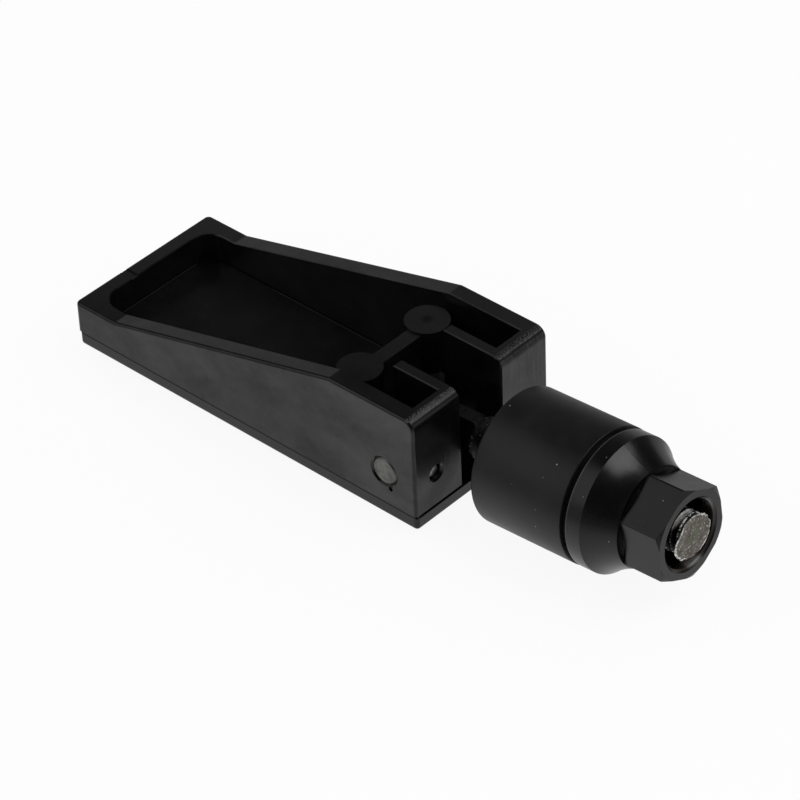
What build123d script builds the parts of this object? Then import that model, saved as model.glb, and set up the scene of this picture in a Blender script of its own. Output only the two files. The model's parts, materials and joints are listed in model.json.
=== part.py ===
# Lever swell latch: a moulded lever on a threaded spindle squeezes a rubber bushing in a hole.
# Millimetres. +X runs along the spindle towards the nut, +Z is the open side of the lever.
# The origin is on the spindle's axis, at the middle of the bushing.
from build123d import *
from math import cos, radians, sin
import os

os.makedirs("parts", exist_ok=True)

# Lever, moulded with an open side
lever_length = 62.3
lever_width = 26.1
lever_height = 17.9
tip_height = 7.15
tip_level = 7.6
top_level = 14.6
knee_radius = 1.2
tip_bend_radius = 1.0
nose_radius = 1.6
side_wall = 2.6
tip_wall = 2.35
end_wall = 2.3
inner_tip_radius = 3.2
inner_end_radius = 0.5
outer_tip_radius = 0.8
rim_round = 0.45
inner_rim_chamfer = 0.15
mark_width = 1.2
mark_depth = 0.3
mark_offset = 3.75

# Slot for the spindle, with its two walls
slot_width = 8.05
slot_wall = 1.65
slot_wall_start = 4.65
slot_wall_low_drop = 9.0

# Bosses and the web that joins them
boss_radius = 3.1
boss_side_gap = 0.8
boss_from_pivot = 9.75
boss_drop = 2.3
boss_bore_depth = 8.0
web_thickness = 2.25
web_from_pivot = 9.5
web_drop = 2.7

# Face cover, with its locating pad and two posts
cover_thickness = 2.1
cover_inset = 0.2
cover_corner_radius = 0.6
cover_round = 0.5
pad_height = 0.7
pad_clearance = 0.15
joint_chamfer = 0.25
post_radius = 1.2
post_clearance = 0.05
post_end_gap = 0.5

# Pivot pin, and the small pin that locks it
pivot_to_end = 5.35
pivot_height = 7.35
pin_radius = 2.0
pin_clearance = 0.03
pin_recess = 0.1
pin_chamfer = 0.2
bore_mouth = 0.32
stake_radius = 0.35
stake_depth = 0.3
stake_forward = 1.07
stake_drop = 2.4
locking_radius = 1.05
locking_clearance = 0.03
locking_from_side = 4.15
locking_mouth = 0.3
locking_recess = 0.7
locking_gap = 0.02

# Spindle
rest_tilt = 3.84
eye_radius = 2.8
eye_clearance = 0.05
tang_thickness = 2.1
rod_start = 5.4
rod_radius = 3.0
rod_end_chamfer = 0.3
rod_past_nut = 0.45

# Rubber bushing
bushing_from_pivot = 11.6
bushing_radius = 9.5
bushing_length = 15.0
bushing_clearance = 0.3
bushing_rear_round = 0.45
bushing_front_chamfer = 0.1

# Washer
washer_radius = 8.7
washer_thickness = 0.65
washer_clearance = 0.2

# Adjusting nut
flange_radius = 9.43
flange_length = 2.55
flange_chamfer = 0.25
nose_length = 4.1
nose_end_radius = 7.02
nose_hollow = 0.25
shoulder_fillet = 0.6
shoulder_overlap = 0.02
hex_across_flats = 12.2
hex_length = 6.2
hex_turn = 33.6
hex_edge_round = 0.3
hex_front_chamfer = 0.45
hex_front_radius = 6.25
thread_clearance = 0.05
counterbore_radius = 4.8
counterbore_depth = 5.0
mouth_chamfer = 0.4

# Places along the spindle's axis, measured from the pivot
bushing_end = bushing_from_pivot + bushing_length
nut_start = bushing_end + washer_thickness
nose_start = nut_start + flange_length
hex_start = nose_start + nose_length
nut_end = hex_start + hex_length
rod_end = nut_end + rod_past_nut

# Places in the lever
tilt = radians(rest_tilt)
pivot_x = -(bushing_from_pivot + bushing_length / 2) * cos(tilt)
pivot_z = -(bushing_from_pivot + bushing_length / 2) * sin(tilt)
back_z = pivot_z - pivot_height
body_z = back_z + cover_thickness
top_z = back_z + lever_height
end_x = pivot_x + pivot_to_end
tip_x = end_x - lever_length
pocket_start_x = tip_x + tip_wall
pocket_end_x = end_x - end_wall
pocket_half_width = lever_width / 2 - side_wall
slot_start_x = pivot_x - slot_wall_start
slot_wall_y = slot_width / 2 + slot_wall / 2
boss_y = pocket_half_width - boss_side_gap - boss_radius
locking_y = locking_from_side - lever_width / 2
web_x = pivot_x - web_from_pivot
boss_x = pivot_x - boss_from_pivot
boss_top_z = top_z - boss_drop
boss_places = [(boss_x, -boss_y), (boss_x, boss_y)]

# Work planes
pivot_plane = Plane(origin=(pivot_x, 0, pivot_z), x_dir=(1, 0, 0), z_dir=(0, -1, 0))
near_side = pivot_plane.offset(lever_width / 2)
end_face = Plane(
    origin=(end_x, locking_y, pivot_z), x_dir=(0, 1, 0), z_dir=(1, 0, 0)
)
spindle_side = Plane(
    origin=(pivot_x, 0, pivot_z), x_dir=(cos(tilt), 0, sin(tilt)), z_dir=(0, -1, 0)
)
spindle_end = Plane(
    origin=(pivot_x, 0, pivot_z), x_dir=(0, 1, 0), z_dir=(cos(tilt), 0, sin(tilt))
)

# Lever body: outer shape
with BuildPart() as lever_body:
    with BuildSketch(Plane.XZ) as side_view:
        with BuildLine():
            Polyline(
                (tip_x, body_z),
                (end_x, body_z),
                (end_x, top_z),
                (end_x - top_level, top_z),
                (tip_x + tip_level, back_z + tip_height),
                (tip_x, back_z + tip_height),
                close=True,
            )
        make_face()
        fillet(side_view.vertices().sort_by(Axis.Y)[-2:].sort_by(Axis.X)[0], knee_radius)
        fillet(side_view.vertices().sort_by(Axis.Y)[-2:].sort_by(Axis.X)[-1], nose_radius)
        fillet(side_view.vertices().sort_by(Axis.Y)[2:4].sort_by(Axis.X)[-1], tip_bend_radius)
    extrude(amount=lever_width / 2, both=True)
    fillet(lever_body.edges().filter_by(Axis.Z).group_by(Axis.X)[0], outer_tip_radius)
    tip_edges = lever_body.edges().filter_by(Axis.Y).group_by(Axis.X)[0]
    fillet(tip_edges.sort_by(Axis.Z)[-1], rim_round)
    bottom_edges = lever_body.faces().sort_by(Axis.Z)[0].edges()
    chamfer(bottom_edges.filter_by(lambda e: e.center().X < end_x - 0.01), joint_chamfer)

# Lever body: pocket and slot, open at the top and closed by the cover below
with BuildPart(mode=Mode.PRIVATE) as pocket:
    with BuildSketch(Plane.XY.offset(body_z)) as pocket_plan:
        with Locations(((pocket_start_x + pocket_end_x) / 2, 0)):
            Rectangle(pocket_end_x - pocket_start_x, 2 * pocket_half_width)
        ends = pocket_plan.vertices().group_by(Axis.X)
        fillet(ends[0], inner_tip_radius)
        fillet(ends[-1], inner_end_radius)
        with Locations(((slot_start_x + pocket_end_x) / 2, 0)):
            Rectangle(
                pocket_end_x - slot_start_x, slot_width + 2 * slot_wall, mode=Mode.SUBTRACT
            )
        with Locations(((slot_start_x + end_x) / 2, 0)):
            Rectangle(end_x - slot_start_x, slot_width)
    extrude(amount=lever_height)

with lever_body:
    add(pocket.part, mode=Mode.SUBTRACT)
    inner_rim = lever_body.edges().filter_by(Axis.Z, reverse=True)
    inner_rim = inner_rim.filter_by_position(
        Axis.X, pocket_start_x - inner_rim_chamfer, pocket_end_x + inner_rim_chamfer
    )
    inner_rim = inner_rim.filter_by_position(
        Axis.Y, -pocket_half_width - inner_rim_chamfer, pocket_half_width + inner_rim_chamfer
    )
    chamfer(inner_rim.filter_by(lambda e: e.center().Z > body_z), inner_rim_chamfer)
    with BuildSketch(Plane.XY.offset(body_z)):
        with Locations(boss_places):
            Circle(boss_radius)
    extrude(amount=boss_top_z - body_z)
    with BuildSketch(Plane.XY.offset(body_z)):
        with Locations((web_x, 0)):
            Rectangle(web_thickness, 2 * boss_y)
    extrude(amount=top_z - web_drop - body_z)
    with BuildSketch(Plane.XY.offset(body_z)):
        with Locations(
            ((boss_x + slot_start_x) / 2, -slot_wall_y), ((boss_x + slot_start_x) / 2, slot_wall_y)
        ):
            Rectangle(slot_start_x - boss_x, slot_wall)
    extrude(amount=top_z - slot_wall_low_drop - body_z)
    with BuildSketch(Plane.XY.offset(body_z)):
        with Locations(boss_places):
            Circle(post_radius + post_clearance)
    extrude(amount=boss_bore_depth, mode=Mode.SUBTRACT)

# Lever body: bores for both pins
with lever_body:
    with BuildSketch(pivot_plane):
        Circle(pin_radius + pin_clearance)
    extrude(amount=lever_width / 2, both=True, mode=Mode.SUBTRACT)
    mouth_edges = lever_body.edges().filter_by(
        lambda e: e.geom_type == GeomType.CIRCLE
        and abs(e.radius - pin_radius - pin_clearance) < 0.001
        and abs(e.center().Y) > lever_width / 2 - 0.001
    )
    chamfer(mouth_edges, bore_mouth)
    with BuildSketch(end_face):
        Circle(locking_radius + locking_clearance)
    extrude(amount=-end_wall, mode=Mode.SUBTRACT)
    locking_mouth_edges = lever_body.edges().filter_by(
        lambda e: e.geom_type == GeomType.CIRCLE
        and abs(e.radius - locking_radius - locking_clearance) < 0.001
        and e.center().X > end_x - 0.001
    )
    chamfer(locking_mouth_edges, locking_mouth)
    with BuildSketch(near_side):
        with Locations((stake_forward, -stake_drop)):
            Circle(stake_radius)
    extrude(amount=-stake_depth, mode=Mode.SUBTRACT)
    with Locations((tip_x + tip_wall / 2, -mark_offset, back_z + tip_height)):
        Box(tip_wall, mark_width, 2 * mark_depth, mode=Mode.SUBTRACT)

lever_body.part.label = "lever_body"
export_step(lever_body.part, "parts/lever_body.step")

# Face cover
with BuildPart() as face_cover:
    with BuildSketch(Plane.XY.offset(back_z)) as cover_plan:
        with Locations(((tip_x + cover_inset + end_x) / 2, 0)):
            Rectangle(lever_length - cover_inset, lever_width - 2 * cover_inset)
        fillet(cover_plan.vertices(), cover_corner_radius)
    extrude(amount=cover_thickness)
    chamfer(face_cover.faces().sort_by(Axis.Z)[-1].edges(), joint_chamfer)
    fillet(face_cover.faces().sort_by(Axis.Z)[0].edges(), cover_round)
    pad_start_x = pocket_start_x + pad_clearance
    pad_end_x = boss_x - boss_radius - pad_clearance
    with BuildSketch(Plane.XY.offset(back_z + cover_thickness)) as pad_plan:
        with Locations(((pad_start_x + pad_end_x) / 2, 0)):
            Rectangle(pad_end_x - pad_start_x, 2 * (pocket_half_width - pad_clearance))
        fillet(pad_plan.vertices().group_by(Axis.X)[0], inner_tip_radius)
    extrude(amount=pad_height)
    with BuildSketch(Plane.XY.offset(back_z + cover_thickness)):
        with Locations(boss_places):
            Circle(post_radius)
    extrude(amount=boss_bore_depth - post_end_gap)

face_cover.part.label = "face_cover"
export_step(face_cover.part, "parts/face_cover.step")

# Pivot pin
with BuildPart() as pivot_pin:
    with BuildSketch(pivot_plane):
        Circle(pin_radius)
    extrude(amount=lever_width / 2 - pin_recess, both=True)
    chamfer(pivot_pin.edges().filter_by(GeomType.CIRCLE), pin_chamfer)

pivot_pin.part.label = "pivot_pin"
export_step(pivot_pin.part, "parts/pivot_pin.step")

# Locking pin, driven in from the end until it meets the pivot pin
with BuildPart() as locking_pin:
    with BuildSketch(end_face.offset(-locking_recess)):
        Circle(locking_radius)
    extrude(amount=-(pivot_to_end - locking_recess - pin_radius - locking_gap))
    chamfer(locking_pin.edges().group_by(Axis.X)[-1], pin_chamfer)

locking_pin.part.label = "locking_pin"
export_step(locking_pin.part, "parts/locking_pin.step")

# Spindle: a rounded end with two flats and the pin's hole, then the rod
with BuildPart() as spindle:
    with BuildSketch(spindle_side):
        Circle(eye_radius)
        with Locations((rod_start / 2, 0)):
            Rectangle(rod_start, 2 * eye_radius)
        Circle(pin_radius + eye_clearance, mode=Mode.SUBTRACT)
    extrude(amount=tang_thickness / 2, both=True)
    with BuildSketch(spindle_end.offset(rod_start)):
        Circle(rod_radius)
    rod = extrude(amount=rod_end - rod_start)
    chamfer(rod.faces().sort_by(Axis.X)[-1].edges(), rod_end_chamfer)

spindle.part.label = "spindle"
export_step(spindle.part, "parts/spindle.step")

# Swell bushing
with BuildPart() as swell_bushing:
    with BuildSketch(spindle_end.offset(bushing_from_pivot)):
        Circle(bushing_radius)
        Circle(rod_radius + bushing_clearance, mode=Mode.SUBTRACT)
    extrude(amount=bushing_length)
    outer_edges = swell_bushing.edges().filter_by(
        lambda e: e.geom_type == GeomType.CIRCLE and abs(e.radius - bushing_radius) < 0.001
    )
    fillet(outer_edges.sort_by(Axis.X)[0], bushing_rear_round)
    chamfer(outer_edges.sort_by(Axis.X)[-1], bushing_front_chamfer)

swell_bushing.part.label = "swell_bushing"
export_step(swell_bushing.part, "parts/swell_bushing.step")

# Thrust washer
with BuildPart() as thrust_washer:
    with BuildSketch(spindle_end.offset(bushing_end)):
        Circle(washer_radius)
        Circle(rod_radius + washer_clearance, mode=Mode.SUBTRACT)
    extrude(amount=washer_thickness)

thrust_washer.part.label = "thrust_washer"
export_step(thrust_washer.part, "parts/thrust_washer.step")

# Adjusting nut: hexagon trimmed by a turned outline, then flange and hollowed nose
with BuildPart() as adjusting_nut:
    with BuildSketch(spindle_end.offset(hex_start)) as hexagon:
        RegularPolygon(hex_across_flats / 2, 6, major_radius=False, rotation=hex_turn)
        fillet(hexagon.vertices(), hex_edge_round)
    extrude(amount=hex_length)
    hex_corner_radius = hex_across_flats / 3**0.5
    with BuildSketch(spindle_side) as turned_outline:
        with BuildLine():
            Polyline(
                (hex_start, 0),
                (hex_start, hex_corner_radius),
                (nut_end - hex_front_chamfer, hex_corner_radius),
                (nut_end, hex_front_radius),
                (nut_end, 0),
                close=True,
            )
        make_face()
    revolve(axis=Axis(spindle_side.origin, spindle_side.x_dir), mode=Mode.INTERSECT)
    fillet_end_radius = hex_across_flats / 2 - shoulder_overlap
    with BuildSketch(spindle_side) as flange_outline:
        with BuildLine():
            Line(
                (hex_start, nose_end_radius), (hex_start, fillet_end_radius + shoulder_fillet)
            )
            RadiusArc(
                (hex_start, fillet_end_radius + shoulder_fillet),
                (hex_start + shoulder_fillet, fillet_end_radius),
                -shoulder_fillet,
            )
            Polyline(
                (hex_start + shoulder_fillet, fillet_end_radius),
                (hex_start + shoulder_fillet, 0),
                (nut_start, 0),
                (nut_start, flange_radius - flange_chamfer),
                (nut_start + flange_chamfer, flange_radius),
                (nose_start, flange_radius),
            )
            SagittaArc((nose_start, flange_radius), (hex_start, nose_end_radius), -nose_hollow)
        make_face()
    revolve(axis=Axis(spindle_side.origin, spindle_side.x_dir))
    with BuildSketch(spindle_end.offset(nut_start)):
        Circle(rod_radius + thread_clearance)
    extrude(amount=nut_end - nut_start, mode=Mode.SUBTRACT)
    with BuildSketch(spindle_end.offset(nut_end)):
        Circle(counterbore_radius)
    extrude(amount=-counterbore_depth, mode=Mode.SUBTRACT)
    mouth_edge = adjusting_nut.edges().filter_by(
        lambda e: e.geom_type == GeomType.CIRCLE and abs(e.radius - counterbore_radius) < 0.001
    )
    chamfer(mouth_edge.sort_by(Axis.X)[-1], mouth_chamfer)

adjusting_nut.part.label = "adjusting_nut"
export_step(adjusting_nut.part, "parts/adjusting_nut.step")
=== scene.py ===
"""Dresses the swell latch: moulded lever, pins, threaded spindle, rubber bushing, nut and stage."""
import json
from math import atan2, cos, pi, radians, sin

import bmesh
import bpy
from bpy.props import FloatProperty, FloatVectorProperty, IntProperty, PointerProperty
from mathutils import Matrix, Vector, noise


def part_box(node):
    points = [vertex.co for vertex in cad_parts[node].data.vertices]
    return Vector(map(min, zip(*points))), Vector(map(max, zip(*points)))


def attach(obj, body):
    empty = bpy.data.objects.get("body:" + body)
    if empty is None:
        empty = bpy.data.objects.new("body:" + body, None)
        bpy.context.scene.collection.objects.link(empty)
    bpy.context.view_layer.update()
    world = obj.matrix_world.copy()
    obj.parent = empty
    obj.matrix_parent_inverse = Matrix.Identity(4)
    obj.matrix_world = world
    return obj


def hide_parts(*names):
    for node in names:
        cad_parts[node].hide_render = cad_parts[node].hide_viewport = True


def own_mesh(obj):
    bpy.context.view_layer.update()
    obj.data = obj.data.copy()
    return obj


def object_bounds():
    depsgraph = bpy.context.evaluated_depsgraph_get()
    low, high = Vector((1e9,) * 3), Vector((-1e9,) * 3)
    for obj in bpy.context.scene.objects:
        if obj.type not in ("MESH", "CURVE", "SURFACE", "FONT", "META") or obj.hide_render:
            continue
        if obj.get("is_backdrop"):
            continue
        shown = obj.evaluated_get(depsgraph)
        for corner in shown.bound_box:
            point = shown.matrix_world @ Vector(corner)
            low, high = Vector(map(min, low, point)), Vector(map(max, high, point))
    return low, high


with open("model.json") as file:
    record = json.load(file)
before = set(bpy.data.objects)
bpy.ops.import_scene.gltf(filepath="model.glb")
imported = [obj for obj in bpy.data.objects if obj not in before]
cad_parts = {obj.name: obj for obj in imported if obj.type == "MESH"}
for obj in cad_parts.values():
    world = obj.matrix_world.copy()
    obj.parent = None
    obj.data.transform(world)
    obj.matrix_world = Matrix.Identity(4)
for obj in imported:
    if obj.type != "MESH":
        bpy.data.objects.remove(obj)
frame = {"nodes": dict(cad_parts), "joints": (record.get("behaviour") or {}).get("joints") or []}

bl_info = {
    "name": "Swell latch",
    "version": (1, 0, 0),
    "blender": (4, 5, 0),
    "location": "View3D > Sidebar > Latch",
    "description": "Builds and finishes the pieces of a lever swell latch",
    "category": "Object",
}

MM = 0.001
PIVOT = Vector(next(j["pos_m"] for j in frame["joints"] if j["name"] == "lever_swing"))
ALONG = -Vector(next(j["axis"] for j in frame["joints"] if j["name"] == "nut_travel"))
ACROSS = Vector((0, 1, 0))
LEVER_LOW, LEVER_HIGH = (Vector(c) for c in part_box("lever_body"))


def spindle_matrix():
    """Millimetres along and around the spindle, measured from the pivot, to the row frame."""
    up = ALONG.cross(ACROSS).normalized()
    turn = Matrix((ALONG.normalized(), ACROSS, up)).transposed().to_4x4()
    return Matrix.Translation(PIVOT) @ turn @ Matrix.Scale(MM, 4)


# Properties


def length(name, text, value):
    """A length that the user sets in millimetres."""
    return FloatProperty(name=name, description=text, default=value, min=0.0, subtype="NONE")


def amount(name, text, value, unit="NONE"):
    """An amount of light, or a length in metres, that the user sets."""
    return FloatProperty(name=name, description=text, default=value, unit=unit)


def colour(name, text, value):
    """A colour that the user sets."""
    return FloatVectorProperty(
        name=name, description=text, default=value, size=3, min=0.0, max=1.0, subtype="COLOR"
    )


class LeverPlaces(bpy.types.PropertyGroup):
    """Places on the moulded lever that its finish follows, in millimetres."""

    tip_level: length("Tip level", "Length of the low level rim at the tip", 7.6)
    tip_rim: length("Tip rim", "Height of that rim over the cover's face", 5.05)
    top_level: length("Top level", "Length of the high level rim over the prongs", 14.6)
    nose: length("Nose", "Reach of the worn edge from the prongs' end", 1.1)
    boss_back: length("Boss back", "Bosses' distance behind the pivot", 9.75)
    boss_side: length("Boss side", "Bosses' distance from the middle", 6.55)
    boss_drop: length("Boss drop", "Depth of the bosses' tops under the rim", 2.3)
    pad_edge: length("Pad edge", "Cover pad's edge, measured from the tip", 2.6)
    pad_side: length("Pad side", "Cover pad's far edge, measured from the middle", 10.05)


class SpindleSizes(bpy.types.PropertyGroup):
    """Sizes of the threaded spindle, in millimetres."""

    pitch: length("Pitch", "Distance from one thread to the next", 1.0)
    crest: length("Crest radius", "Outer radius of the thread", 3.0)
    root: length("Root radius", "Inner radius of the thread", 2.46)
    phase: length("Phase", "Distance that the thread is set back", 0.25)
    thread_start: length("Thread start", "First thread, measured from the pivot", 5.6)
    rod_end: length("Rod end", "Cut end of the rod, measured from the pivot", 40.2)
    tang_thickness: length("Tang thickness", "Thickness of the flattened end", 2.1)
    eye_radius: length("Eye radius", "Radius of the rounded end", 2.8)
    pin_hole: length("Pin hole", "Radius of the hole for the pivot pin", 2.05)
    steps: IntProperty(name="Steps", description="Faces round the thread", default=48, min=12)


class BushingSizes(bpy.types.PropertyGroup):
    """Sizes of the rubber bushing, in millimetres."""

    start: length("Start", "Face towards the lever, measured from the pivot", 11.6)
    length: length("Length", "Length of the bushing", 15.0)
    radius: length("Radius", "Outer radius", 9.5)
    bore: length("Bore radius", "Radius of the hole for the spindle", 3.3)
    rear_round: length("Rear round", "Edge radius towards the lever", 0.45)
    front_round: length("Front round", "Edge radius towards the washer", 0.1)


class Finishes(bpy.types.PropertyGroup):
    """Colours of the finishes."""

    lever: colour("Lever", "Moulded lever", (0.0038, 0.0038, 0.0038))
    cover: colour("Cover", "Face cover", (0.0038, 0.0038, 0.0038))
    rubber: colour("Rubber", "Bushing", (0.0062, 0.0062, 0.0062))
    nut: colour("Nut", "Adjusting nut", (0.0028, 0.0028, 0.0028))
    washer: colour("Washer", "Thrust washer", (0.0012, 0.0012, 0.0012))
    spindle: colour("Spindle", "Blackened spindle", (0.1, 0.1, 0.1))
    steel: colour("Steel", "Bare steel", (0.62, 0.61, 0.59))
    rim: colour("Sawn rim", "Burr round the sawn end", (1.0, 1.0, 0.98))
    sawn: colour("Sawn face", "Sawn end of the spindle", (0.225, 0.2, 0.178))
    pin: colour("Pin", "Pivot pin", (0.2, 0.2, 0.19))
    # Used for dusty specks and for painted spots of light in the nut's bore.
    dust_and_light: colour("Dust", "Specks of dust and light", (0.32, 0.32, 0.31))


class StageSettings(bpy.types.PropertyGroup):
    """Floor, lamps and world."""

    floor_radius: amount("Floor radius", "Radius of the floor", 3.0, "LENGTH")
    rim_height: amount("Rim height", "Rise of the floor's rim", 0.32, "LENGTH")
    floor_colour: colour("Floor colour", "Floor", (0.88, 0.88, 0.88))
    world: amount("World strength", "Seen in reflections all round", 0.02)
    backdrop: amount("Backdrop strength", "Seen in reflections low behind", 0.52)
    soft_light: amount("Soft light", "Even light on dull surfaces", 0.55)
    key: amount("Key lamp", "Power of the high lamp", 2.9, "POWER")
    fill: amount("Fill lamp", "Power of the low lamp", 2.4, "POWER")


# Materials


def start_material(name):
    """A new node material; returns the material, its nodes and its Principled shader."""
    material = bpy.data.materials.new(name)
    material.use_nodes = True
    shader = material.node_tree.nodes["Principled BSDF"]
    shader.inputs["Specular IOR Level"].default_value = 0.4
    return material, material.node_tree, shader


def node(tree, kind, **values):
    """A node whose inputs or properties are set by name."""
    made = tree.nodes.new(kind)
    for key, value in values.items():
        if hasattr(made, key):
            setattr(made, key, value)
        else:
            made.inputs[key.replace("_", " ").title()].default_value = value
    return made


def object_coordinates(tree, scale=(1, 1, 1)):
    """Object coordinates, stretched by a Mapping node."""
    place = node(tree, "ShaderNodeTexCoord")
    mapping = node(tree, "ShaderNodeMapping")
    mapping.inputs["Scale"].default_value = scale
    tree.links.new(place.outputs["Object"], mapping.inputs["Vector"])
    return mapping.outputs["Vector"]


def place_of(tree):
    """The three object coordinates, each by itself."""
    split = node(tree, "ShaderNodeSeparateXYZ")
    tree.links.new(object_coordinates(tree), split.inputs["Vector"])
    return split.outputs


def facing(tree):
    """The three parts of the surface's direction in the object's own axes."""
    split = node(tree, "ShaderNodeSeparateXYZ")
    tree.links.new(node(tree, "ShaderNodeTexCoord").outputs["Normal"], split.inputs["Vector"])
    return split.outputs


def grain(tree, scale, detail=3.0, rough=0.6, stretch=(1, 1, 1)):
    """Noise at a scale per metre."""
    made = node(tree, "ShaderNodeTexNoise", scale=scale, detail=detail, roughness=rough)
    tree.links.new(object_coordinates(tree, stretch), made.inputs["Vector"])
    return made.outputs["Fac"]


def spread(tree, value, low, high, to_low, to_high):
    """Maps a value from one range to another, and holds it at the ends."""
    made = node(tree, "ShaderNodeMapRange")
    made.inputs["From Min"].default_value = low
    made.inputs["From Max"].default_value = high
    made.inputs["To Min"].default_value = to_low
    made.inputs["To Max"].default_value = to_high
    tree.links.new(value, made.inputs["Value"])
    return made.outputs["Result"]


def rise(tree, value, low, high):
    """Nothing below a range of a value, and one above it."""
    return spread(tree, value, low, high, 0, 1)


def fade(tree, value, low, high):
    """One below a range of a value, and nothing above it."""
    return spread(tree, value, low, high, 1, 0)


def scaled(tree, mask, factor):
    """A factor where a mask is one, and one where it is nothing."""
    return spread(tree, mask, 0, 1, 1, factor)


def worked(tree, operation, one, two=0.0):
    """The result of a Math node on two values, each a socket or a number."""
    made = node(tree, "ShaderNodeMath", operation=operation)
    for value, socket in ((one, made.inputs[0]), (two, made.inputs[1])):
        if hasattr(value, "links"):
            tree.links.new(value, socket)
        else:
            socket.default_value = value
    return made.outputs["Value"]


def times(tree, *values):
    """The product of several values."""
    product = values[0]
    for value in values[1:]:
        product = worked(tree, "MULTIPLY", product, value)
    return product


def vector_node(tree, operation, one, two):
    """A Vector Math node on a socket and a plain vector."""
    made = node(tree, "ShaderNodeVectorMath", operation=operation)
    tree.links.new(one, made.inputs[0])
    made.inputs[1].default_value = two
    return made


def round_spindle(tree):
    """Distances in metres along the spindle from the pivot, and away from its axis."""
    place = vector_node(tree, "SUBTRACT", object_coordinates(tree), PIVOT).outputs["Vector"]
    along = vector_node(tree, "DOT_PRODUCT", place, ALONG).outputs["Value"]
    across = vector_node(tree, "CROSS_PRODUCT", place, ALONG).outputs["Vector"]
    away = vector_node(tree, "LENGTH", across, (0, 0, 0)).outputs["Value"]
    return along, away


def band(tree, value, low, high, soft):
    """One inside a range of a value and nothing outside it, with soft ends."""
    return times(
        tree, rise(tree, value, low - soft, low + soft), fade(tree, value, high - soft, high + soft)
    )


def away_from(tree, point):
    """Distance in metres from a point."""
    return vector_node(tree, "DISTANCE", object_coordinates(tree), point).outputs["Value"]


def round_point(angle, along, away):
    """A point given in degrees round the spindle and millimetres along and away from its axis."""
    turn = Vector((along, away * cos(radians(angle)), away * sin(radians(angle))))
    return spindle_matrix() @ turn


def mixed(tree, fac, one, two):
    """Mix of two colours, each a socket or a plain colour."""
    made = node(tree, "ShaderNodeMix", data_type="RGBA")
    tree.links.new(fac, made.inputs["Factor"])
    for value, socket in ((one, made.inputs[6]), (two, made.inputs[7])):
        if hasattr(value, "links"):
            tree.links.new(value, socket)
        else:
            socket.default_value = (*value, 1.0)
    return made.outputs[2]


def present_colour(shader):
    """The colour socket that feeds a shader."""
    return shader.inputs["Base Color"].links[0].from_socket


def bumped(tree, shader, heights):
    """Adds bumps to a shader, each a height socket with a strength and a depth in metres."""
    links = shader.inputs["Normal"].links
    last = links[0].from_socket if links else None
    for height, strength, depth in heights:
        made = node(tree, "ShaderNodeBump")
        made.inputs["Strength"].default_value = strength
        made.inputs["Distance"].default_value = depth
        tree.links.new(height, made.inputs["Height"])
        if last:
            tree.links.new(last, made.inputs["Normal"])
        last = made.outputs["Normal"]
    tree.links.new(last, shader.inputs["Normal"])


def moulded(name, tint, rough, grain_depth=0.00001, mottle=0.35, specks=()):
    """Moulded black plastic or rubber: fine grain, faint mottling and pale specks of dust.

    A speck is an angle in degrees round the spindle, its distances along and away from the
    axis and its radius in millimetres, and its strength. Returns the material, its nodes, its
    shader and its colour.
    """
    material, tree, shader = start_material(name)
    fine = grain(tree, 5200, 4)
    broad = grain(tree, 210, 5, 0.65)
    lighter = tuple(c * (1 + mottle) for c in tint)
    darker = tuple(c * (1 - mottle) for c in tint)
    base = mixed(tree, rise(tree, broad, 0.35, 0.65), darker, lighter)
    dust_and_light = tuple(bpy.context.scene.latch_finishes.dust_and_light)
    for angle, along, away, radius, strength in specks:
        apart = away_from(tree, round_point(angle, along, away))
        near = spread(tree, apart, radius * MM * 0.5, radius * MM, strength, 0)
        base = mixed(tree, near, base, dust_and_light)
    tree.links.new(base, shader.inputs["Base Color"])
    dullness = spread(tree, broad, 0.3, 0.7, rough - 0.04, rough + 0.04)
    tree.links.new(dullness, shader.inputs["Roughness"])
    bumped(tree, shader, ((fine, 0.35, grain_depth), (broad, 0.2, grain_depth * 4)))
    return material, tree, shader, base


def steel(name, tint, rough, depth, coarse=4200):
    """Plated or turned steel with fine scratches; returns the material, its nodes and shader."""
    material, tree, shader = start_material(name)
    shader.inputs["Metallic"].default_value = 1.0
    scratch = grain(tree, coarse, 4, 0.7, (1, 0.35, 1))
    cloud = grain(tree, 900, 3)
    dull = tuple(c * 0.55 for c in tint)
    clouded = mixed(tree, rise(tree, cloud, 0.35, 0.65), dull, tint)
    tree.links.new(clouded, shader.inputs["Base Color"])
    dullness = spread(tree, scratch, 0.3, 0.7, rough - 0.1, rough + 0.15)
    tree.links.new(dullness, shader.inputs["Roughness"])
    bumped(tree, shader, ((scratch, 0.6, depth),))
    return material, tree, shader


def dress(name, material):
    """Gives a CAD node a finish."""
    piece = frame["nodes"][name]
    piece.data.materials.clear()
    piece.data.materials.append(material)


def mesh_object(bm, name, matrix, material, smooth_angle=35):
    """A new object at the origin with its place in its mesh."""
    bmesh.ops.transform(bm, matrix=matrix, verts=bm.verts)
    bmesh.ops.recalc_face_normals(bm, faces=bm.faces)
    for face in bm.faces:
        face.smooth = True
    for edge in bm.edges:
        if len(edge.link_faces) == 2 and edge.calc_face_angle() > radians(smooth_angle):
            edge.smooth = False
    mesh = bpy.data.meshes.new(name)
    bm.to_mesh(mesh)
    bm.free()
    piece = bpy.data.objects.new(name, mesh)
    bpy.context.scene.collection.objects.link(piece)
    mesh.materials.append(material)
    return piece


def turned(bm, outline, steps):
    """Spins a closed outline of (along, radius) points round the spindle's axis."""
    verts = [bm.verts.new((x, r, 0)) for x, r in outline]
    edges = [bm.edges.new((a, b)) for a, b in zip(verts, verts[1:] + verts[:1])]
    bmesh.ops.spin(
        bm,
        geom=verts + edges,
        cent=(0, 0, 0),
        axis=(1, 0, 0),
        angle=2 * pi,
        steps=steps,
        use_merge=True,
    )
    bmesh.ops.remove_doubles(bm, verts=bm.verts, dist=0.0005)


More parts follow.
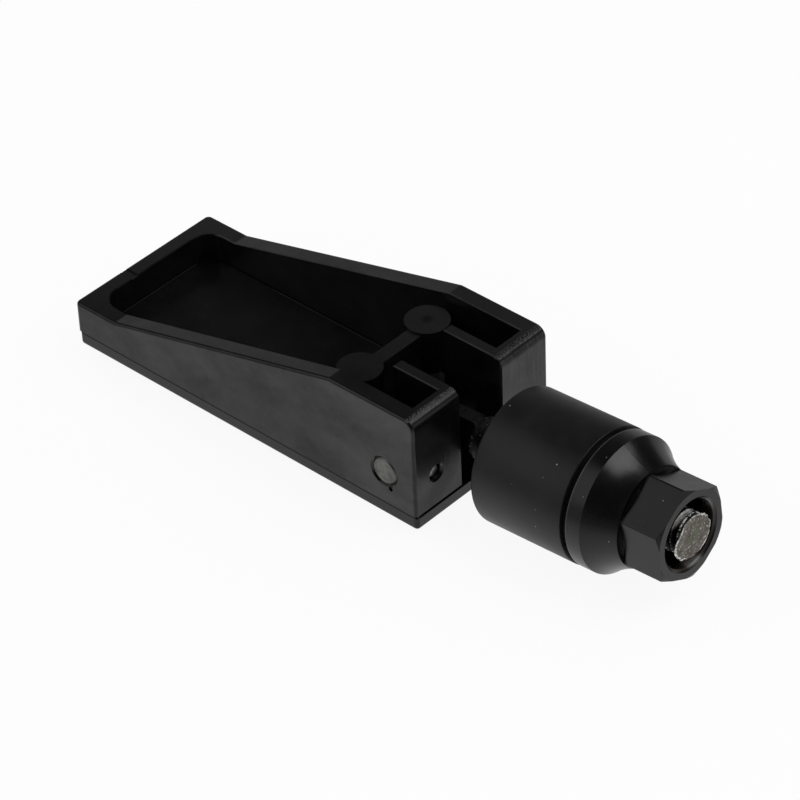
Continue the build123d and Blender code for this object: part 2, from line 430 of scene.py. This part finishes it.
def extruded(bm, faces):
    """Extrudes faces, and gives the new faces and their vertices."""
    edges = list({e for face in faces for e in face.edges})
    made = bmesh.ops.extrude_face_region(bm, geom=faces + edges)["geom"]
    new_faces = [g for g in made if isinstance(g, bmesh.types.BMFace)]
    return new_faces, [g for g in made if isinstance(g, bmesh.types.BMVert)]


def rounded(x, r, radius, start, sides=6):
    """Points of a quarter circle about (x, r), from an angle in degrees, turning clockwise."""
    turns = [radians(start - 90 * i / sides) for i in range(sides + 1)]
    return [(x + radius * cos(turn), r + radius * sin(turn)) for turn in turns]


# Parts of the spindle


def threaded_rod(bm, size):
    """The screw thread: a ridge's outline spun along its pitch, cut off square at both ends."""
    turns = int((size.rod_end - size.thread_start) / size.pitch) + 4
    first = size.thread_start - 1.5 * size.pitch - size.phase
    root, crest = size.root, size.crest
    outline = ((0, root), (0.34, crest), (0.5, crest), (0.84, root), (1, root))
    verts = [bm.verts.new((first + x * size.pitch, 0, -r)) for x, r in outline]
    edges = [bm.edges.new(pair) for pair in zip(verts, verts[1:])]
    bmesh.ops.spin(
        bm,
        geom=verts + edges,
        cent=(0, 0, 0),
        axis=(1, 0, 0),
        dvec=(size.pitch / size.steps, 0, 0),
        angle=2 * pi * turns,
        steps=size.steps * turns,
    )
    bmesh.ops.remove_doubles(bm, verts=bm.verts, dist=0.002)
    for where, away in ((size.thread_start, -1), (size.rod_end, 1)):
        bmesh.ops.bisect_plane(
            bm,
            geom=bm.verts[:] + bm.edges[:] + bm.faces[:],
            plane_co=(where, 0, 0),
            plane_no=(away, 0, 0),
            clear_outer=True,
        )
        rim = [
            edge
            for edge in bm.edges
            if edge.is_boundary and all(abs(v.co.x - where) < 0.001 for v in edge.verts)
        ]
        bmesh.ops.edgeloop_fill(bm, edges=rim)


def sawn_end(bm, size):
    """The sawn face: a burr mushroomed outwards, its bright edge, then rings of a rough face."""
    cap = [f for f in bm.faces if f.calc_center_median().x > size.rod_end - 0.001]
    rings = ((1, 0.1, 2), (0.94, 0.07, 2), (0.94, -0.02, 1), (0.8, 0, 1), (0.7, 0, 1), (0.5, 0, 1))
    for ring, (factor, rise, slot) in enumerate(rings):
        cap, verts = extruded(bm, cap)
        for vert in verts if ring == 0 else ():
            angle = atan2(vert.co.z, vert.co.y)
            reach = size.crest * (1 - 0.2 * max(0.0, cos(angle - radians(142))) ** 12)
            vert.co.y = 1.17 * reach * cos(angle)
            vert.co.z = reach * (sin(angle) - 0.06)
        bmesh.ops.scale(bm, vec=(1, factor, factor), verts=verts)
        bmesh.ops.translate(bm, vec=(rise, 0, 0), verts=verts)
        for face in {f for v in verts for f in v.link_faces}:
            face.material_index = slot
    bmesh.ops.poke(bm, faces=cap)
    for vert in {v for f in bm.faces if f.material_index for v in f.verts}:
        if vert.co.x > size.rod_end + 0.05:
            radius = Vector((vert.co.y, vert.co.z)).length
            grow = 1 + 0.08 * noise.noise(vert.co * 2.3) * min(1.0, radius / 3) ** 6
            vert.co.y *= grow
            vert.co.z *= grow
            vert.co.x += 0.03 * noise.noise(vert.co * 3.1)


def tang(bm, size):
    """The rod's rounded end with two flats and the hole for the pivot pin."""
    side = Matrix.Translation((0, -size.tang_thickness / 2, 0)) @ Matrix.Rotation(pi / 2, 4, "X")
    rings = [
        bmesh.ops.create_circle(bm, segments=96, radius=radius, matrix=side)["verts"]
        for radius in (size.eye_radius, size.pin_hole)
    ]
    loops = {e for ring in rings for v in ring for e in v.link_edges}
    faces = bmesh.ops.bridge_loops(bm, edges=list(loops))["faces"]
    for vert in rings[0]:
        if vert.co.x > 0.001:
            vert.co.x = size.thread_start - 0.5
    bmesh.ops.translate(bm, vec=(0, size.tang_thickness, 0), verts=extruded(bm, faces)[1])


def run_out(bm, size):
    """The flats' slopes back to the round rod, just before the thread."""
    ring = bmesh.ops.create_circle(bm, segments=64, radius=size.crest, cap_ends=True)
    bmesh.ops.transform(bm, matrix=Matrix.Rotation(pi / 2, 4, "Y"), verts=ring["verts"])
    loop = [f for f in bm.faces if set(f.verts) == set(ring["verts"])]
    flat = size.tang_thickness / 2
    for vert in ring["verts"]:
        vert.co.x = size.thread_start - 0.9
        vert.co.y = max(-flat, min(flat, vert.co.y))
    for x, limit in ((-0.5, flat), (0.1, size.crest), (0.4, size.crest)):
        loop, verts = extruded(bm, loop)
        for vert in verts:
            y = (size.crest**2 - min(abs(vert.co.z), size.crest) ** 2) ** 0.5
            vert.co.y = (1 if vert.co.y > 0 else -1) * min(y, limit)
            vert.co.x = size.thread_start + x


# Pieces


def lever_colour(tree, base, places, worn, streaks):
    """The lever's colour: painted light on the lighter level tops, painted shade in a sink mark on
    a boss, and the worn prong ends.

    Returns the colour and the sink mark's mask.
    """
    x, y, z = place_of(tree)
    # Painted light: level tops that face up are painted lighter, more so towards the far side and
    # the tip.
    level = rise(tree, facing(tree)[2], 0.97, 0.99)
    tops = times(tree, level, rise(tree, z, LEVER_LOW.z + 3 * MM, LEVER_LOW.z + 4 * MM))
    to_far_side = spread(tree, y, -12 * MM, 12 * MM, 0.12, 0.75)
    at_tip = spread(tree, x, LEVER_LOW.x + 2 * MM, LEVER_LOW.x + 10 * MM, 0.3, 0)
    painted_top_light = worked(tree, "ADD", to_far_side, at_tip)
    coloured = mixed(tree, times(tree, tops, painted_top_light), base, (0.015, 0.015, 0.015))
    boss = Vector(
        (
            PIVOT.x - places.boss_back * MM,
            places.boss_side * MM,
            LEVER_HIGH.z - places.boss_drop * MM,
        )
    )
    dimple = fade(tree, away_from(tree, boss), 0.3 * MM, 1.1 * MM)
    # Painted shade: the boss top is painted darker round the sink mark's hollow.
    coloured = mixed(tree, times(tree, dimple, tops, 0.8), coloured, (0.002, 0.002, 0.002))
    coloured = mixed(tree, worn, coloured, (0.12, 0.12, 0.115))
    return mixed(tree, streaks, coloured, (0.03, 0.03, 0.03)), dimple


def lever_sheen(tree, places):
    """How strongly the lever mirrors: random blotches, painted sheen under the rim and near the
    prongs, and painted shade on the tip's inner edge and on the slopes.
    """
    x, y, z = place_of(tree)
    nx, ny, nz = facing(tree)
    blotches = spread(tree, grain(tree, 170, 7, 0.72, (0.7, 1, 1)), 0.35, 0.65, 0.235, 0.45)
    # Painted shade: the inner face of the tip mirrors far less.
    at_tip = fade(tree, x, LEVER_LOW.x + 4 * MM, LEVER_LOW.x + 5 * MM)
    inner_tip = times(tree, at_tip, rise(tree, nx, 0.2, 0.4))
    # Painted sheen: the near side mirrors more towards the prongs.
    near_side = fade(tree, ny, -0.95, -0.9)
    near_prong_sheen = times(
        tree, near_side, rise(tree, x, LEVER_HIGH.x - 18 * MM, LEVER_HIGH.x - 4 * MM)
    )
    # Painted sheen: upright sides mirror more just under the rim and less farther down.
    rim_level = spread(
        tree,
        x,
        LEVER_LOW.x + places.tip_level * MM,
        LEVER_HIGH.x - places.top_level * MM,
        LEVER_LOW.z + places.tip_rim * MM,
        LEVER_HIGH.z,
    )
    depth = worked(tree, "SUBTRACT", rim_level, z)
    under_rim = spread(tree, depth, 1.5 * MM, 6 * MM, 1.14, 0.93)
    upright = rise(tree, worked(tree, "ABSOLUTE", ny), 0.9, 0.95)
    elsewhere = worked(tree, "SUBTRACT", 1.0, upright)
    under_rim = worked(tree, "ADD", times(tree, under_rim, upright), elsewhere)
    # Painted shade: the slopes mirror a little less.
    sloping = band(tree, nz, 0.955, 0.97, 0.003)
    return times(
        tree,
        blotches,
        under_rim,
        scaled(tree, inner_tip, 0.1),
        scaled(tree, near_prong_sheen, 1.35),
        scaled(tree, sloping, 0.87),
    )


class LATCH_OT_lever(bpy.types.Operator):
    """Finishes the moulded lever and its face cover"""

    bl_idname = "latch.lever"
    bl_label = "Lever"

    def execute(self, context):
        tints = context.scene.latch_finishes
        places = context.scene.latch_lever
        material, tree, shader, base = moulded("lever_moulding", tuple(tints.lever), 0.2)
        x, y, z = place_of(tree)
        behind = worked(tree, "SUBTRACT", LEVER_HIGH.x, x)
        below = worked(tree, "SUBTRACT", LEVER_HIGH.z, z)
        at_end = fade(tree, behind, places.nose * MM, (places.nose + 0.4) * MM)
        nose = times(tree, at_end, fade(tree, below, 0.3 * MM, 0.4 * MM))
        grit = rise(tree, grain(tree, 7000, 2, 0.7), 0.46, 0.66)
        worn = times(tree, nose, grit, spread(tree, y, -2 * MM, 4 * MM, 1, 0.45))
        end_face = times(
            tree,
            fade(tree, behind, 0.32 * MM, 0.42 * MM),
            rise(tree, below, 0.5 * MM, 0.6 * MM),
        )
        drawn = spread(tree, grain(tree, 2600, 3, 0.7, (1, 1, 0.06)), 0.4, 0.6, 0, 0.6)
        streaks = times(tree, end_face, drawn, rise(tree, y, 1 * MM, 3 * MM))
        coloured, dimple = lever_colour(tree, base, places, worn, streaks)
        tree.links.new(coloured, shader.inputs["Base Color"])
        tree.links.new(lever_sheen(tree, places), shader.inputs["Specular IOR Level"])
        scuffs = (times(tree, nose, grit), 0.9, 0.00004)
        drag = (times(tree, end_face, drawn), 0.5, 0.00001)
        sink = (times(tree, dimple, -1.0), 0.5, 0.00006)
        bumped(tree, shader, (scuffs, drag, sink))
        dress("lever_body", material)

        material, tree, shader, base = moulded("cover_moulding", tuple(tints.cover), 0.24)
        shader.inputs["Specular IOR Level"].default_value = 0.34
        x, y, z = place_of(tree)
        pad_end = LEVER_LOW.x + places.pad_edge * MM
        pad_side = places.pad_side * MM
        side_edge = times(
            tree,
            rise(tree, y, pad_side, pad_side + 0.1 * MM),
            rise(tree, x, LEVER_LOW.x + 14 * MM, LEVER_LOW.x + 16 * MM),
        )
        edge = worked(tree, "MAXIMUM", fade(tree, x, pad_end, pad_end + 0.1 * MM), side_edge)
        # Painted highlight: a lighter line along the edges of the cover pad.
        pad_edge_highlight = times(tree, edge, rise(tree, z, LEVER_LOW.z + 0.2 * MM, LEVER_LOW.z + 0.3 * MM))
        tree.links.new(mixed(tree, pad_edge_highlight, base, (0.018, 0.018, 0.018)), shader.inputs["Base Color"])
        dress("face_cover", material)
        return {"FINISHED"}


class LATCH_OT_pins(bpy.types.Operator):
    """Finishes the pivot pin and the locking pin"""

    bl_idname = "latch.pins"
    bl_label = "Pins"

    def execute(self, context):
        tints = context.scene.latch_finishes
        material, tree, shader = steel("pivot_steel", tuple(tints.pin), 0.5, 0.00002)
        sideways = worked(tree, "ABSOLUTE", place_of(tree)[1])
        ends = rise(tree, sideways, LEVER_HIGH.y - 0.65 * MM, LEVER_HIGH.y - 0.45 * MM)
        coloured = mixed(tree, ends, (0.02, 0.02, 0.02), present_colour(shader))
        tree.links.new(coloured, shader.inputs["Base Color"])
        dress("pivot_pin", material)
        dress("locking_pin", steel("locking_steel", tuple(tints.steel), 0.35, 0.00001)[0])
        return {"FINISHED"}


def spindle_black(size, tints):
    """Blackened steel, worn through to steel in patches on the crests, with painted shade towards
    the sawn end and painted highlights on the upper crests and the last groove there.
    """
    steel_tint = tuple(tints.steel)
    material, tree, shader = steel("spindle_black", tuple(tints.spindle), 0.4, 0.00002)
    along, away = round_spindle(tree)
    patches = rise(tree, grain(tree, 2300, 2), 0.58, 0.63)
    crest = times(
        tree,
        rise(tree, away, (size.crest - 0.15) * MM, (size.crest - 0.03) * MM),
        rise(tree, along, size.thread_start * MM, (size.thread_start + 0.2) * MM),
        patches,
    )
    ragged = rise(tree, grain(tree, 2600, 2), 0.46, 0.52)
    at_end = rise(tree, along, 36.5 * MM, 38 * MM)
    # Painted highlight: on the upper side near the end, the crests and the last groove are painted
    # bright.
    upper = spread(tree, place_of(tree)[2], PIVOT.z + 4.2 * MM, PIVOT.z + 4.8 * MM, 0.1, 1)
    near_crest = rise(tree, away, (size.crest - 0.25) * MM, (size.crest - 0.1) * MM)
    end_crest_glint = times(tree, at_end, near_crest, ragged, upper)
    last_groove = band(tree, along, 38.85 * MM, 39.3 * MM, 0.05 * MM)
    worn_and_glint = worked(tree, "MAXIMUM", crest, times(tree, last_groove, upper, upper))
    # Painted shade: the rod is painted darker towards its end, within the nut.
    black = mixed(tree, at_end, present_colour(shader), (0.02, 0.02, 0.02))
    coloured = mixed(tree, worn_and_glint, black, steel_tint)
    coloured = mixed(tree, end_crest_glint, coloured, (0.95, 0.95, 0.93))
    tree.links.new(coloured, shader.inputs["Base Color"])
    return material


def sawn_steel(tints):
    """The finishes of the sawn end: a speckled face with a greenish cast, and a beaded rim."""
    face, tree, shader = steel("sawn_face", tuple(tints.sawn), 0.5, 0.00001)
    cast = spread(tree, grain(tree, 420, 2), 0.5, 0.62, 0, 0.7)
    coloured = mixed(tree, cast, present_colour(shader), (0.155, 0.17, 0.12))
    sparks = rise(tree, grain(tree, 3600, 2, 0.6), 0.6, 0.68)
    tree.links.new(mixed(tree, sparks, coloured, (0.62, 0.6, 0.56)), shader.inputs["Base Color"])
    rim, tree, shader = steel("sawn_rim", tuple(tints.rim), 0.3, 0.00016, 2600)
    beads = rise(tree, grain(tree, 3300, 1), 0.44, 0.5)
    coloured = mixed(tree, beads, (0.28, 0.27, 0.25), present_colour(shader))
    tree.links.new(coloured, shader.inputs["Base Color"])
    return face, rim


class LATCH_OT_spindle(bpy.types.Operator):
    """Builds the spindle: an eye on a flattened tang, then a threaded rod with a sawn end"""

    bl_idname = "latch.spindle"
    bl_label = "Spindle"

    def execute(self, context):
        size = context.scene.latch_spindle
        tints = context.scene.latch_finishes
        bm = bmesh.new()
        threaded_rod(bm, size)
        sawn_end(bm, size)
        tang(bm, size)
        run_out(bm, size)
        black = spindle_black(size, tints)
        piece = mesh_object(bm, "threaded_spindle", spindle_matrix(), black, 30)
        for material in sawn_steel(tints):
            piece.data.materials.append(material)
        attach(piece, "spindle_body")
        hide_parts("spindle")
        return {"FINISHED"}


class LATCH_OT_bushing(bpy.types.Operator):
    """Builds the rubber bushing"""

    bl_idname = "latch.bushing"
    bl_label = "Bushing"

    def execute(self, context):
        size = context.scene.latch_bushing
        end = size.start + size.length
        rear, front = size.rear_round, size.front_round
        outline = [(size.start, size.bore)]
        outline += rounded(size.start + rear, size.radius - rear, rear, 180)
        outline += rounded(end - front, size.radius - front, front, 90, 4)
        outline += [(end, size.bore)]
        bm = bmesh.new()
        turned(bm, outline, 160)
        tint = tuple(context.scene.latch_finishes.rubber)
        specks = (
            (128.9, 23.76, 9.5, 0.12, 0.9),
            (168.9, 22.65, 9.5, 0.08, 0.5),
            (184.8, 22.55, 9.5, 0.1, 0.9),
            (101.6, 12.62, 9.5, 0.1, 0.8),
            (142.3, 22.68, 9.5, 0.1, 0.3),
            (157.3, 18.37, 9.5, 0.1, 0.2),
        )
        material = moulded("bushing_rubber", tint, 0.44, specks=specks)[0]
        piece = mesh_object(bm, "rubber_bushing", spindle_matrix(), material)
        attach(piece, "spindle_body")
        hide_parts("swell_bushing")
        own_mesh(piece)
        return {"FINISHED"}


class LATCH_OT_nut(bpy.types.Operator):
    """Finishes the washer and the adjusting nut"""

    bl_idname = "latch.nut"
    bl_label = "Nut"

    def execute(self, context):
        tints = context.scene.latch_finishes
        dress("thrust_washer", moulded("washer_moulding", tuple(tints.washer), 0.6)[0])
        specks = (
            (177.9, 32.93, 7.41, 0.1, 0.9),
            (142.7, 29.21, 9.43, 0.09, 0.5),
            (107.0, 29.29, 9.43, 0.09, 0.5),
            (111.7, 37.81, 6.23, 0.1, 0.6),
        )
        material, tree, shader, base = moulded(
            "nut_moulding", tuple(tints.nut), 0.27, 0.000004, 0.2, specks
        )
        along, away = round_spindle(tree)
        lit_bore_wall = times(
            tree, fade(tree, away, 4.9 * MM, 5.1 * MM), rise(tree, along, 37.5 * MM, 40.1 * MM)
        )
        # Painted highlight: a lighter line round the rear edge of the flange.
        flange_rear_highlight = band(tree, along, 27.42 * MM, 27.6 * MM, 0.03 * MM)
        rim = times(tree, flange_rear_highlight, rise(tree, away, 9.2 * MM, 9.3 * MM))
        # Painted shade: the hollow between the nose and the hex mirrors almost nothing.
        hollow_shade = times(
            tree, rise(tree, along, 33.88 * MM, 33.92 * MM), fade(tree, along, 34.2 * MM, 34.5 * MM)
        )
        # Painted light: the bore's wall is painted lighter and brownish, with two painted spots of
        # light on it.
        coloured = mixed(tree, times(tree, lit_bore_wall, 0.2), base, (0.14, 0.1, 0.09))
        for angle, radius, strength in ((-84, 1.6 * MM, 0.5), (36, 2.2 * MM, 0.32)):
            apart = away_from(tree, round_point(angle, 39.3, 4.4))
            near = spread(tree, apart, radius / 2, radius, strength, 0)
            coloured = mixed(tree, times(tree, lit_bore_wall, near), coloured, tuple(tints.dust_and_light))
        # Paint the highlight round the flange's rear edge.
        coloured = mixed(tree, rim, coloured, (0.05, 0.05, 0.05))
        tree.links.new(coloured, shader.inputs["Base Color"])
        tree.links.new(spread(tree, hollow_shade, 0, 1, 0.43, 0.06), shader.inputs["Specular IOR Level"])
        dress("adjusting_nut", material)
        return {"FINISHED"}


def make_floor(settings):
    """A wide pale floor with a low rim, white to the camera and softer where it is mirrored."""
    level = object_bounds()[0][2]
    bm = bmesh.new()
    bmesh.ops.create_circle(bm, segments=96, radius=settings.floor_radius, cap_ends=True)
    rim = bmesh.ops.extrude_edge_only(bm, edges=[e for e in bm.edges if e.is_boundary])
    for vert in (g for g in rim["geom"] if isinstance(g, bmesh.types.BMVert)):
        vert.co *= 1.02
        vert.co.z += settings.rim_height
    material, tree, shader = start_material("pale_floor")
    floor = mesh_object(bm, "floor", Matrix.Translation((0, 0, level)), material)
    shader.inputs["Base Color"].default_value = (*settings.floor_colour, 1)
    shader.inputs["Roughness"].default_value = 0.9
    path = node(tree, "ShaderNodeLightPath").outputs
    camera_ray = path["Is Camera Ray"]
    seen = worked(tree, "MAXIMUM", camera_ray, path["Is Glossy Ray"])
    seen = worked(tree, "MAXIMUM", seen, path["Is Transmission Ray"])
    # Mirrored, the floor is bright beside the latch and grey farther off
    shortened = object_coordinates(tree, (0.4, 1, 1))
    beside = vector_node(tree, "DISTANCE", shortened, (-0.012, 0, level)).outputs["Value"]
    close = spread(tree, beside, 0.02, 0.09, 0.82, 0)
    x, y, z = place_of(tree)
    far_side = spread(tree, y, -0.05, 0.1, 0.1, 0.42)
    tip_side = spread(tree, x, -0.15, 0, 0.34, 0.1)
    mirrored = worked(tree, "MAXIMUM", close, worked(tree, "MAXIMUM", far_side, tip_side))
    glow = node(tree, "ShaderNodeEmission")
    strength = worked(tree, "MAXIMUM", camera_ray, mirrored)
    tree.links.new(strength, glow.inputs["Strength"])
    mix = node(tree, "ShaderNodeMixShader")
    tree.links.new(times(tree, seen, 0.92), mix.inputs["Fac"])
    tree.links.new(shader.outputs["BSDF"], mix.inputs[1])
    tree.links.new(glow.outputs["Emission"], mix.inputs[2])
    tree.links.new(mix.outputs["Shader"], tree.nodes["Material Output"].inputs["Surface"])
    floor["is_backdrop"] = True


def make_world(settings):
    """Even light on dull surfaces, and a dim world with brighter sides low behind the latch."""
    world = bpy.data.worlds.new("studio")
    world.use_nodes = True
    tree = world.node_tree
    split = node(tree, "ShaderNodeSeparateXYZ")
    direction = node(tree, "ShaderNodeTexCoord").outputs["Generated"]
    tree.links.new(direction, split.inputs["Vector"])
    x, y, z = split.outputs
    low = spread(tree, z, 0.0, 0.55, 1, 0.14)
    behind = rise(tree, y, -0.1, 0.5)
    tip_side = spread(tree, x, -0.85, -0.2, 1, 0.1)
    nut_side = spread(tree, x, 0.45, 0.75, 0, 1.6)
    pattern = times(tree, low, behind, worked(tree, "MAXIMUM", tip_side, nut_side))
    bright = spread(tree, pattern, 0, 2, settings.world, 2 * settings.backdrop)
    diffuse_ray = node(tree, "ShaderNodeLightPath").outputs["Is Diffuse Ray"]
    even = times(tree, diffuse_ray, settings.soft_light)
    background = tree.nodes["Background"]
    background.inputs["Color"].default_value = (1, 1, 1, 1)
    tree.links.new(worked(tree, "MAXIMUM", bright, even), background.inputs["Strength"])
    return world


def make_lamp(scene, name, power, place, sides):
    """A rectangular lamp that faces the middle."""
    data = bpy.data.lights.new(name, "AREA")
    data.energy = power
    data.shape = "RECTANGLE"
    data.size, data.size_y = sides
    lamp = bpy.data.objects.new(name, data)
    lamp.location = place
    lamp.rotation_euler = (-Vector(place)).to_track_quat("-Z", "Y").to_euler()
    scene.collection.objects.link(lamp)


class LATCH_OT_stage(bpy.types.Operator):
    """Sets the pale floor, the lamps, the world and the camera"""

    bl_idname = "latch.stage"
    bl_label = "Stage"

    def execute(self, context):
        scene = context.scene
        settings = scene.latch_stage
        make_floor(settings)
        scene.world = make_world(settings)
        make_lamp(scene, "key_lamp", settings.key, (0.405, 0.28, 0.696), (0.62, 0.48))
        make_lamp(scene, "fill_lamp", settings.fill, (-0.6, -0.66, 0.57), (1.2, 0.9))
        data = bpy.data.cameras.new("camera")
        data.lens = 183.704
        camera = bpy.data.objects.new("camera", data)
        camera.location = (0.261518, -0.303574, 0.333076)
        camera.rotation_euler = (0.896197, 0.033412, 0.735205)
        scene.collection.objects.link(camera)
        scene.camera = camera
        scene.view_settings.view_transform = "Standard"
        return {"FINISHED"}


class LATCH_PT_panel(bpy.types.Panel):
    """Lists the pieces and their settings"""

    bl_label = "Swell latch"
    bl_idname = "LATCH_PT_panel"
    bl_space_type = "VIEW_3D"
    bl_region_type = "UI"
    bl_category = "Latch"

    def draw(self, context):
        for group in GROUPS:
            box = self.layout.box()
            settings = getattr(context.scene, group)
            for name in settings.__annotations__:
                box.prop(settings, name)
        for operator in ORDER:
            self.layout.operator(f"latch.{operator}")


GROUPS = {
    "latch_lever": LeverPlaces,
    "latch_spindle": SpindleSizes,
    "latch_bushing": BushingSizes,
    "latch_finishes": Finishes,
    "latch_stage": StageSettings,
}
ORDER = ("lever", "pins", "spindle", "bushing", "nut", "stage")
CLASSES = (
    *GROUPS.values(),
    LATCH_OT_lever,
    LATCH_OT_pins,
    LATCH_OT_spindle,
    LATCH_OT_bushing,
    LATCH_OT_nut,
    LATCH_OT_stage,
    LATCH_PT_panel,
)


def register():
    for cls in CLASSES:
        bpy.utils.register_class(cls)
    for name, group in GROUPS.items():
        setattr(bpy.types.Scene, name, PointerProperty(type=group))


def unregister():
    for name in GROUPS:
        delattr(bpy.types.Scene, name)
    for cls in reversed(CLASSES):
        bpy.utils.unregister_class(cls)


def build_latch():
    """Builds every piece in order."""
    register()
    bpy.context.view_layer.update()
    for name in ORDER:
        getattr(bpy.ops.latch, name)()


if __name__ == "__main__":
    build_latch()
